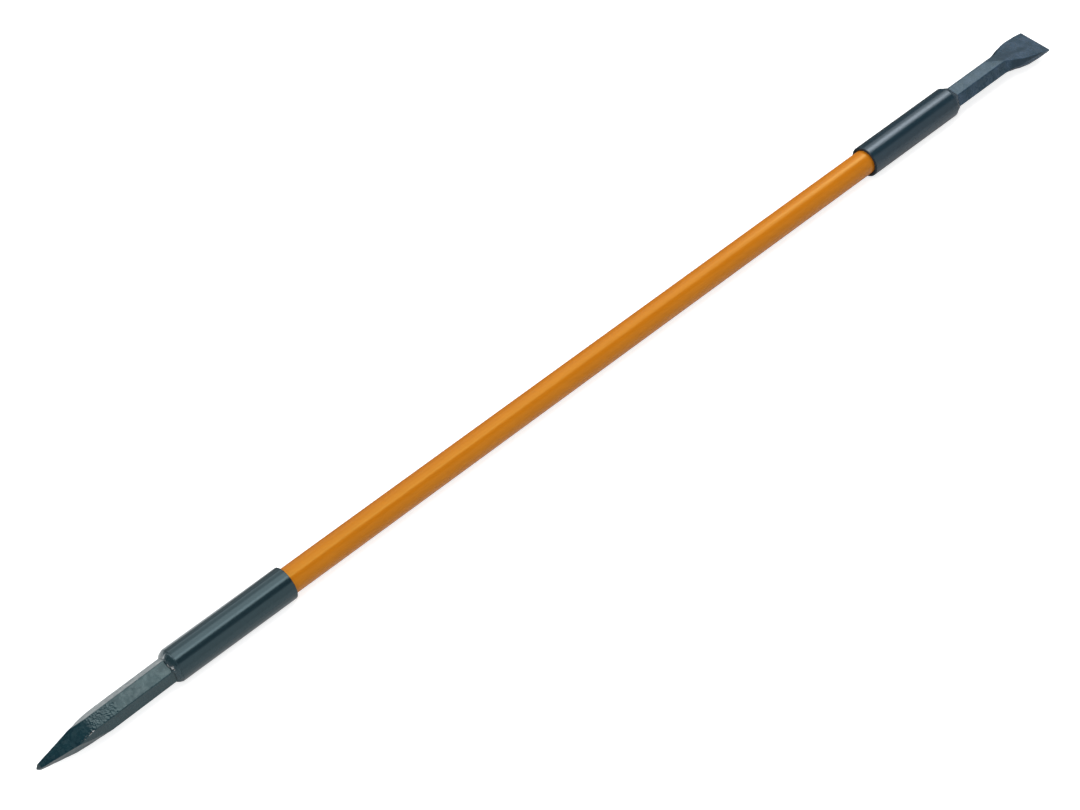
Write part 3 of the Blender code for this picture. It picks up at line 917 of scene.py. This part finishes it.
def chisel_relief(rings):
    """Height over the plain chisel: broad hammer marks on the blade, fine scale, a few pits."""
    x, y, z = rings[..., 0], rings[..., 1], rings[..., 2]
    blade = window(x, blade_start - 0.002, blade_start + 0.014, chisel_length - 0.004,
                   chisel_length - 0.0005)
    face = smooth_step(np.abs(y), 0.0225, 0.018)
    height = 0.00009 * blade * face * waves(rings, 0.010, 11)
    height += 0.00003 * blade * face * waves(rings, 0.0042, 12)
    height += 0.00001 * waves(rings, 0.005, 13) * smooth_step(x, BAR_SEAT - 0.006, BAR_SEAT)
    random = np.random.default_rng(14)
    along = random.uniform(0.006, 0.020, EDGE_PITS)
    across = random.uniform(0.004, 0.019, EDGE_PITS)
    top = EDGE_THICKNESS / 2 - EDGE_DROP + along * (FLAT_RADIUS + EDGE_DROP) / BLADE_LENGTH
    pits = joined(chisel_length - along, across, top)
    return height + dents(rings, pits, EDGE_PIT_RADIUS, EDGE_PIT_DEPTH)


def chisel_to_world(local):
    """Moves the chisel's own frame to its place in the socket."""
    return local + np.array([CHISEL_NOSE_X - BAR_SEAT, 0.0, AXIS_HEIGHT])


chisel_height = chisel_relief(chisel_rings)
print(f"relief of the chisel {np.ptp(chisel_height) * 1000:.2f} mm from lowest to highest")

# %% [markdown]
# ## Pooled paint on the chisel
#
# Both upper flanks and two bands of the upper face are painted darker and duller. This is
# painted shade, which stands in for the darker reflections that these places show. A mark with
# these places goes to the finish. It is worked out on the rings without relief, because hammer
# marks would change the way in which each spot faces.

# %% Mark the painted shade and skin the chisel
SHOULDER_SLANT = 1.43  # how far the shoulder's line runs along the bar for each metre across


def painted_shade_on_chisel(rings):
    """Share of painted shade on the blade: most on both upper flanks, some in two bands.

    The flanks are found by the way the surface faces. One band is a bell curve across the
    upper face and gets narrower towards the edge. The other lies behind the slanting line where
    the shoulder begins.
    """
    along, y = rings[..., 0] - blade_start, rings[..., 1]
    across = round_way(rings)
    length = np.maximum(np.hypot(across[..., 1], across[..., 2]), 1e-9)
    facing_y, facing_z = across[..., 2] / length, -across[..., 1] / length
    on_top = smooth_step(facing_z, 0.85, 0.95)
    near_flank = smooth_step(-facing_y, 0.90, 0.95) * smooth_step(facing_z, 0.08, 0.20)
    near_flank *= 0.62 * smooth_step(along, 0.012, 0.026)
    far_flank = smooth_step(facing_y, 0.70, 0.80) * smooth_step(along, -0.002, 0.004)
    farther = smooth_step(along, 0.012, 0.036)
    shade_band = 0.50 * bell(y, 0.0012 - 0.0040 * farther, 0.0068 - 0.0033 * farther)
    shade_band *= on_top * window(along, 0.007, 0.012, 0.050, 0.070)
    past = along + SHOULDER_BEFORE - SHOULDER_SLANT * (0.0022 - y)
    shoulder = 0.50 * window(past, 0.0, 0.0020, 0.014, 0.030)
    shoulder *= on_top * smooth_step(y, -0.0090, -0.0050)
    return np.max([near_flank, far_flank, shade_band, shoulder], axis=0)


chisel_painted_shade = painted_shade_on_chisel(chisel_rings)
forged_chisel = skin("forged_chisel", chisel_to_world(raised(chisel_rings, chisel_height)),
                     chisel_paint, marks={"painted_shade": chisel_painted_shade})
# The share printed is that of painted shade on the chisel.
print(f"paint pools on {chisel_painted_shade.mean():.0%} of the chisel's points")

# %% [markdown]
# ## The welds
#
# At both noses, a smooth thin fillet runs from the tube's bevel down to the bar. On the point,
# the welder then laid a heavy lumpy bead over two opposite flats, which fills the bevel. So a
# bead is first one curve for each turn round the bar, from the socket to the bar's own surface,
# blended between the thin and the heavy shape. Its lumps are bell curves, of which the highest
# one counts, because that leaves sharp creases between them.

# %% Bend the curves of a weld and pile up its lumps
HEAVY_CENTRE = math.radians(115.0)  # turn of the middle of one heavy bead, the other opposite
HEAVY_REACH, HEAVY_BACK = 0.0054, 0.0033  # along the bar, and behind the nose
HEAVY_ELBOW = 0.0187  # radius at which a heavy bead would turn without its rounding
LUMPS_PER_BEAD, LUMP_RADII, LUMP_HEIGHTS = 9, (0.0013, 0.0021), (0.0006, 0.0011)
WELD_DIP = 0.0001  # how far a weld's toe dips into the bar


def hexagon_radius(turn, roll, offset_y):
    """Radius of the bar's surface round the socket's axis, when the bar sits offset_y aside."""
    facing = HEXAGON_FACING[None, :] + roll
    radius = flats_radius(turn[None, :], facing, np.full((1, 6), FLAT_RADIUS))[0]
    return radius + offset_y * np.cos(turn)


def fillet(start_back, start_radius, elbow_share, elbow_radius, reach, bar, across=24):
    """Curve (across, around, 2) of x and radius: socket, elbow, toe, as a parabola in v.

    (1 - v)^2 start + 2 v (1 - v) elbow + v^2 toe. The elbow lies at elbow_share of the reach.
    """
    v = np.linspace(0.0, 1.0, across)[:, None, None]
    start, elbow = joined(-start_back, start_radius), joined(elbow_share * reach, elbow_radius)
    toe = joined(reach, bar - WELD_DIP)
    return (1 - v) ** 2 * start + 2 * v * (1 - v) * elbow + v ** 2 * toe


def lumps(places, turn, seed):
    """Bell-shaped lumps at seeded random spots of the two heavy beads, the highest counts."""
    random = np.random.default_rng(seed)
    count = 2 * LUMPS_PER_BEAD
    middle = HEAVY_CENTRE + np.repeat([0.0, math.pi], LUMPS_PER_BEAD)
    at_turn = middle + np.radians(random.uniform(-33.0, 33.0, count))
    column = np.round(at_turn / (2 * math.pi) * len(turn)).astype(int) % len(turn)
    row = np.round(random.uniform(0.12, 0.88, count) * (len(places) - 1)).astype(int)
    radius = random.uniform(*LUMP_RADII, count)
    return -dents(places, places[row, column], radius, random.uniform(*LUMP_HEIGHTS, count))

# %% [markdown]
# ## Marks on the welds
#
# Beside some stretches of a weld's toe the paint is darker, as painted shade in the groove.
# Along one stretch of the chisel's weld it is paler, as a painted highlight, and on the point's
# heavy beads the steel shows where it is scraped.
# Each stretch is given as a range of turns round the bar, and the marks tell the finish.

# %% Find the marked stretches
def along_toe(v, turn, centre, half_range, start):
    """1 next to the toe, from v = start on, within half_range degrees of the centre."""
    near = smooth_step(np.cos(turn - math.radians(centre)),
                       math.cos(math.radians(half_range + 6.0)),
                       math.cos(math.radians(half_range - 6.0)))
    return near * smooth_step(v, start, start + 0.12)


def scraped_arc(places, turn):
    """Bare streak near the toe of the first heavy bead, from 108 to 143 degrees of turn."""
    share = (np.degrees(turn) - 108.0) / 35.0
    middle = 0.0048 - 0.0030 * np.clip(share, 0.0, 1.0) ** 1.5
    return window(share, -0.05, 0.15, 0.85, 1.05) * bell(places[..., 0], middle, 0.0007)


def weld_marks(height, v, places, turn, heavy):
    """Shares of bare steel, painted highlight and painted shade on the curves of a weld."""
    if not heavy:
        # Chisel's weld: a painted highlight along the toe towards -Y, painted shade in the groove
        # on top.
        return {"scuffed_and_highlight": 0.55 * along_toe(v, turn, 160.0, 32.0, 0.55),
                "painted_shade": along_toe(v, turn, 98.0, 27.0, 0.62)}
    bare = np.maximum(0.62 * smooth_step(height, 0.0006, 0.0010), scraped_arc(places, turn))
    # Heavy beads: painted shade in the groove beside the toe, towards -Y.
    return {"bare_steel": bare, "painted_shade": along_toe(v, turn, 182.0, 36.0, 0.78)}

# %% [markdown]
# ## Two weld beads
#
# The curves are raised by fine ripples and, on the heavy beads, by the lumps. Two more rings
# lead back under the nose and close the bead, because a weld is solid metal.

# %% Lay the weld beads
BULGE, FINE_RIPPLE = 0.00015, 0.00003  # heights of a bead's bulge and of the waves on it
HIDDEN_BACK, HIDDEN_RADIUS = 0.0005, 0.0166  # where a bead ends under the nose


def blended(weight, thin, heavy):
    """thin where weight is 0 and heavy where it is 1."""
    return thin * (1 - weight) + heavy * weight


def weld_bead(name, nose_x, outward, roll, offset_y, thin, heavy, seed, finish):
    """Closed ring of curves, socket to toe and back under the nose, x counted outwards.

    thin is the fillet's reach, its start behind the nose and in radius, and its fullness. heavy
    is 1 where heavy beads lie over it, else 0.
    """
    turn = whole_turn(360)
    bar = hexagon_radius(turn, roll, offset_y)
    weight = heavy * smooth_step(np.cos(2.0 * (turn - HEAVY_CENTRE)), 0.05, 0.60)
    ripple = waves(joined(np.cos(turn), np.sin(turn), 0.0), 0.7, seed)
    reach, back, start, fullness = thin
    reach = blended(weight, reach + 0.00012 * ripple, HEAVY_REACH + 0.0006 * ripple)
    curve = fillet(blended(weight, back, HEAVY_BACK), blended(weight, start, SOCKET_RADIUS),
                   blended(weight, 0.40, 0.35),
                   blended(weight, 0.5 * (start + bar) + fullness, HEAVY_ELBOW), reach, bar)
    v = np.linspace(0.0, 1.0, len(curve))[:, None]
    places = around_axis(curve, turn)
    height = np.sin(math.pi * v) * (BULGE + FINE_RIPPLE * waves(places, 0.004, seed + 1))
    if heavy:
        height = height + weight * np.sin(math.pi * v) ** 0.6 * lumps(places, turn, seed + 2)
    slope = np.gradient(curve, axis=0)
    normal = unit(joined(-slope[..., 1], slope[..., 0]))
    curve = curve + normal * np.sign(normal[..., 1:]) * height[..., None]
    hidden = joined(np.full_like(turn, -HIDDEN_BACK), HIDDEN_RADIUS)
    under = np.stack([joined(0.35 * reach, bar - WELD_DIP), hidden])
    rings = around_axis(np.concatenate([curve, under]), turn)
    rings = rings * (outward, 1.0, 1.0) + (nose_x, 0.0, AXIS_HEIGHT)
    marks = {mark: np.pad(values, ((0, len(under)), (0, 0)))[::int(outward)]
             for mark, values in weld_marks(height, v, places, turn, heavy).items()}
    return skin(name, rings[::int(outward)], finish, looped=True, marks=marks)


point_weld_paint = forging_paint("point_weld_paint", (0.018, 0.040, 0.048),
                                 (0.011, 0.030, 0.038), (0.70, 0.90, 1.0), roughness=0.22)
chisel_weld_paint = forging_paint("chisel_weld_paint", (0.014, 0.034, 0.052),
                                  (0.011, 0.029, 0.046), (0.70, 0.86, 1.0), roughness=0.20,
                                  mottling=0.15)
point_offset = -BAR_SEAT * math.sin(POINT_LEAN)
point_weld_bead = weld_bead("point_weld_bead", POINT_NOSE_X, -1.0, POINT_ROLL, point_offset,
                            (0.0036, 0.0023, 0.01845, 0.0010), 1.0, 21, point_weld_paint)
chisel_weld_bead = weld_bead("chisel_weld_bead", CHISEL_NOSE_X, 1.0, CHISEL_ROLL, 0.0,
                             (0.0053, 0.0011, 0.01762, 0.0004), 0.0, 31, chisel_weld_paint)

# %% [markdown]
# ## The layers that can't be seen
#
# The fibre rod and the warning layer under the sleeve stay as the CAD solids, because their
# shape is right already. They only take a finish.

# %% Finish the hidden nodes
for node_name, finish in (("shaft_core", fibre_rod), ("shaft_wear_layer", warning_plastic)):
    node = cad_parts[node_name]
    node.data.materials.clear()
    node.data.materials.append(finish)
    print(node_name, "takes", finish.name)

# %% [markdown]
# ## What stands for what
#
# Nothing on the bar moves, so every piece rides on the one body. Each new piece hides the CAD
# node that it replaces. The table also gives the slot in the record that its finish belongs to,
# which nothing here uses.

# %% Tie the pieces to the frame
dressing = (
    (forged_point, "point_bar", "point_bar_paint"),
    (point_weld_bead, "point_weld", "weld_paint"),
    (point_socket_tube, "point_socket", "socket_paint"),
    (point_adhesive, "point_bond", "adhesive"),
    (orange_sleeve, "shaft_sleeve", "orange_sleeve"),
    (chisel_adhesive, "chisel_bond", "adhesive"),
    (chisel_socket_tube, "chisel_socket", "socket_paint"),
    (chisel_weld_bead, "chisel_weld", "weld_paint"),
    (forged_chisel, "chisel_bar", "chisel_bar_paint"),
)
for piece, node_name, slot_name in dressing:
    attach(piece, "root")
    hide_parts(node_name)
print(len(dressing), "pieces ride on the root body")

# %% [markdown]
# ## The floor
#
# A large pale floor carries the bar. Part of its whiteness is lit paint, which takes the bar's
# soft shadow and throws light back up at its underside. The rest is a glow that only the camera
# and mirror-like reflections see. The camera sees plain white. In reflections the floor in front
# is pale, most of all at the point, and the brightest part is the stretch behind the point,
# which shows as the light strip along the upper flat. Behind the shaft, reflections see the
# floor in a dark grey, a painted dark reflection, so the far rim of the shaft stays a deep orange.

# %% Lay the floor
FLOOR_HALF = 30.0
FLOOR_GREY, REFLECTED_GREY_BEHIND_SHAFT = 0.64, 0.12
GLOW_TO_CAMERA = 0.77
GLOW_BEHIND_POINT = 0.95
TURNS_DARK = (-0.46, -0.38)  # X between which the floor behind goes from bright to dark
GLOW_BY_POINT, GLOW_BY_CHISEL = 0.26, 0.06


def reflected_floor(where):
    """Glow in reflections by place, and 1 behind the shaft, where reflections see a painted dark
    floor.
    """
    place = add_node(where.id_data, "SeparateXYZ", Vector=where).outputs
    behind = spread_out(place["X"], *TURNS_DARK, GLOW_BEHIND_POINT, 0.0)
    in_front = spread_out(place["X"], -0.50, 0.45, GLOW_BY_POINT, GLOW_BY_CHISEL)
    at_back = spread_out(place["Y"], -0.01, 0.01)
    dark = calculated("MULTIPLY", at_back, spread_out(place["X"], *TURNS_DARK))
    return mixed(at_back, in_front, behind, numbers=True), dark


def pale_floor():
    """A flat square whose white is part lit surface and part glow for camera and reflections."""
    corners = FLOOR_HALF * np.array([(-1, -1, 0), (1, -1, 0), (1, 1, 0), (-1, 1, 0)])
    mesh = bpy.data.meshes.new("floor")
    mesh.from_pydata(corners.tolist(), [], [(0, 1, 2, 3)])
    material, shader, where = new_finish("floor")
    rays = add_node(material.node_tree, "LightPath").outputs
    mirrored = calculated("MAXIMUM", rays["Is Glossy Ray"], rays["Is Transmission Ray"])
    glow_there, dark_there = reflected_floor(where)
    glow = calculated("MULTIPLY_ADD", rays["Is Camera Ray"], GLOW_TO_CAMERA,
                      calculated("MULTIPLY", mirrored, glow_there))
    # Mirrored rays behind the shaft see a dark grey: a painted dark reflection.
    dark = calculated("MULTIPLY", mirrored, dark_there)
    set_sockets(shader, Emission_Color=(1.0, 1.0, 1.0), Emission_Strength=glow,
                Base_Color=mixed(dark, (FLOOR_GREY,) * 3, (REFLECTED_GREY_BEHIND_SHAFT,) * 3),
                Roughness=1.0, Specular_IOR_Level=0.0)
    mesh.materials.append(material)
    floor = bpy.data.objects.new("floor", mesh)
    bpy.context.scene.collection.objects.link(floor)
    return floor


floor = pale_floor()
print("floor", 2 * FLOOR_HALF, "m square")

# %% [markdown]
# ## The softboxes
#
# Five flat lamps hang about 1.3 m above the bar. The large one covers everything behind the
# camera's line of sight, and its front edge draws the line between light and dark that runs
# along the sockets. The next three make the middle of the highlight brighter than its rim. Each
# has its own height, because lamps in one plane hide each other in reflections. The last one
# fills the shade at the point's end: it gives diffuse light and stays out of the reflections. A
# lamp's power is given as a brightness times its area, because a reflection shows the brightness.

# %% Hang the softboxes
def hang_softbox(name, place, size, turn, brightness, mirrored=True):
    """A flat lamp over the bar; power = 4 * area * brightness. Gloss shows it if mirrored."""
    data = bpy.data.lights.new(name, "AREA")
    data.shape = "RECTANGLE"
    data.size, data.size_y = size
    data.energy = 4.0 * size[0] * size[1] * brightness
    lamp = bpy.data.objects.new(name, data)
    lamp.location = place
    lamp.rotation_euler = (0.0, 0.0, math.radians(turn))
    lamp.visible_camera = False
    lamp.visible_glossy = mirrored
    bpy.context.scene.collection.objects.link(lamp)
    print(name, "power", round(data.energy, 1), "W")


SKEW = 12.7  # degrees between most lamps and the bar
hang_softbox("wide_softbox", (0.85, 1.07, 1.34), (3.04, 2.55), SKEW, 0.84)
hang_softbox("inner_softbox", (1.00, 0.33, 1.32), (3.10, 1.10), SKEW, 0.97)
hang_softbox("edge_softbox", (0.05, -0.17, 1.30), (1.00, 0.26), 14.0, 1.15)
hang_softbox("chisel_softbox", (1.42, 0.40, 1.28), (0.50, 0.52), SKEW, 2.50)
hang_softbox("point_fill", (-1.00, -0.30, 1.36), (1.00, 1.00), SKEW, 1.60, mirrored=False)

# %% [markdown]
# ## The room
#
# The world stands for the room. Its brightness depends on the direction only: pale low down, a
# little darker to the right and behind the bar, with a dark doorway there, and nearly black
# overhead. To the camera itself the world is white.

# %% Paint the room's light
DOOR_AT = 0.55  # X of the direction in which the dark doorway lies


def room(overhead, doorway, low_front, low_right, low_back):
    """World strength from direction: pale below 40 degrees up, a doorway behind, dark above."""
    world = bpy.data.worlds.new("room")
    world.use_nodes = True
    tree = world.node_tree
    generated = add_node(tree, "TexCoord").outputs["Generated"]
    direction = add_node(tree, "SeparateXYZ", Vector=generated).outputs
    from_door = calculated("ABSOLUTE", calculated("SUBTRACT", direction["X"], DOOR_AT))
    back = spread_out(from_door, 0.12, 0.20, doorway, low_back)
    front = spread_out(direction["X"], 0.46, 0.66, low_front, low_right)
    in_front = spread_out(direction["Y"], 0.20, -0.20)
    low = mixed(in_front, back, front, numbers=True)
    up = spread_out(direction["Z"], 0.55, 0.65)
    level = mixed(up, low, overhead, numbers=True)
    to_camera = add_node(tree, "LightPath").outputs["Is Camera Ray"]
    set_sockets(tree.nodes["Background"], Color=(1.0, 1.0, 1.0),
                Strength=mixed(to_camera, level, 1.0, numbers=True))
    return world


bpy.context.scene.world = room(overhead=0.02, doorway=0.12, low_front=0.84,
                               low_right=0.50, low_back=0.58)
bpy.context.scene.view_settings.view_transform = "Standard"
print("room set")
